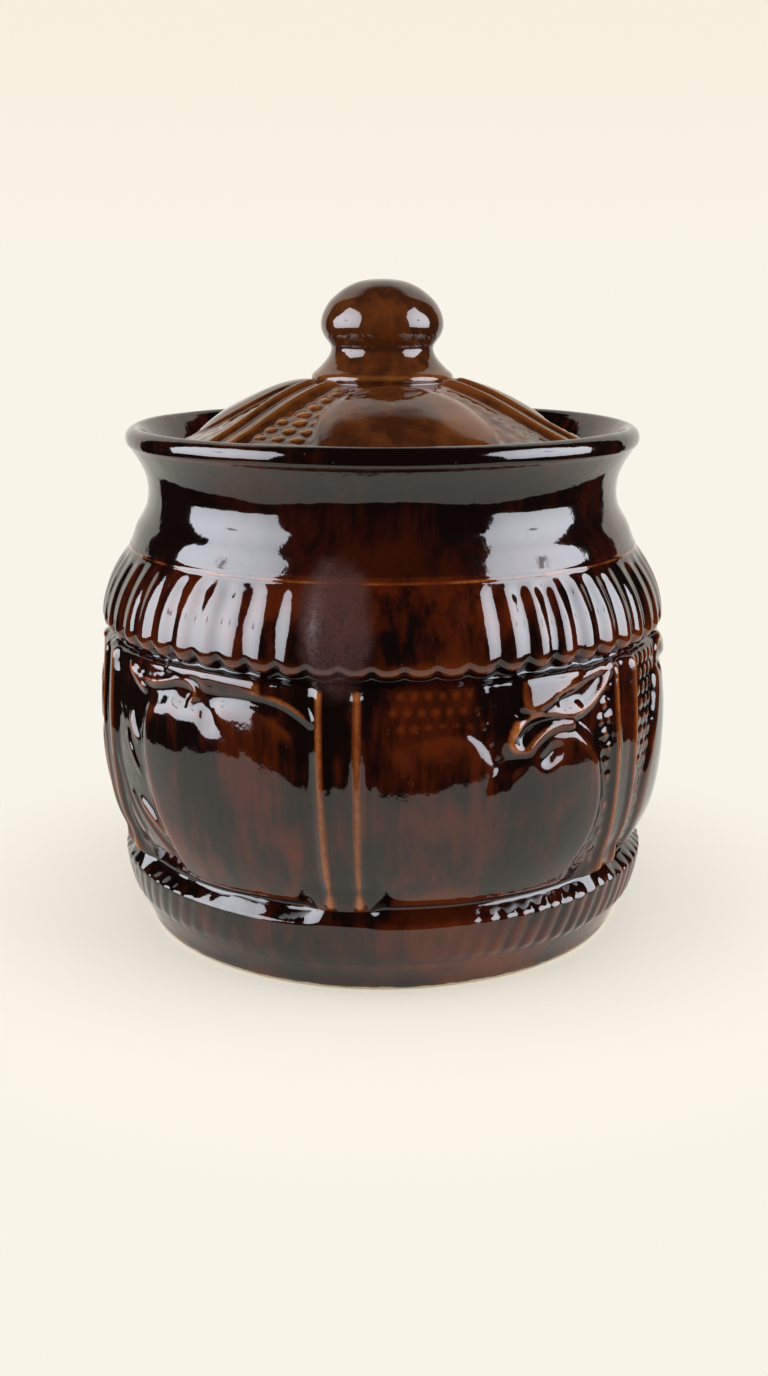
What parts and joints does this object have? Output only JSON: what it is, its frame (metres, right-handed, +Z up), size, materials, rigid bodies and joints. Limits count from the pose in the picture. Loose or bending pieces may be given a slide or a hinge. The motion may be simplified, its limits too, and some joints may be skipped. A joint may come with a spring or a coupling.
{
  "type": "lidded jar",
  "caption": "Round glazed stoneware jar with moulded fruit panels, a fluted shoulder and a domed lift-off lid with a ball knob.",
  "frame": {"origin": "centre of the foot ring on the table, on the jar's axis", "axes": "+Z up along the jar's axis and the lid's lift, -Y towards the viewer's side of the picture"},
  "size_m": [0.1824, 0.181, 0.1976],
  "materials": {
    "dark_glaze": "gloss",
    "honey_glaze": "gloss"
  },
  "bodies": {
    "jar": {"jar_body": "dark_glaze"},
    "lid": {"lid": "honey_glaze"}
  },
  "joints": [
    {"name": "lid_lift", "type": "slide", "parent": "jar", "child": "lid", "axis": [0, 0, 1], "range_m": [0, 0.06]}
  ]
}
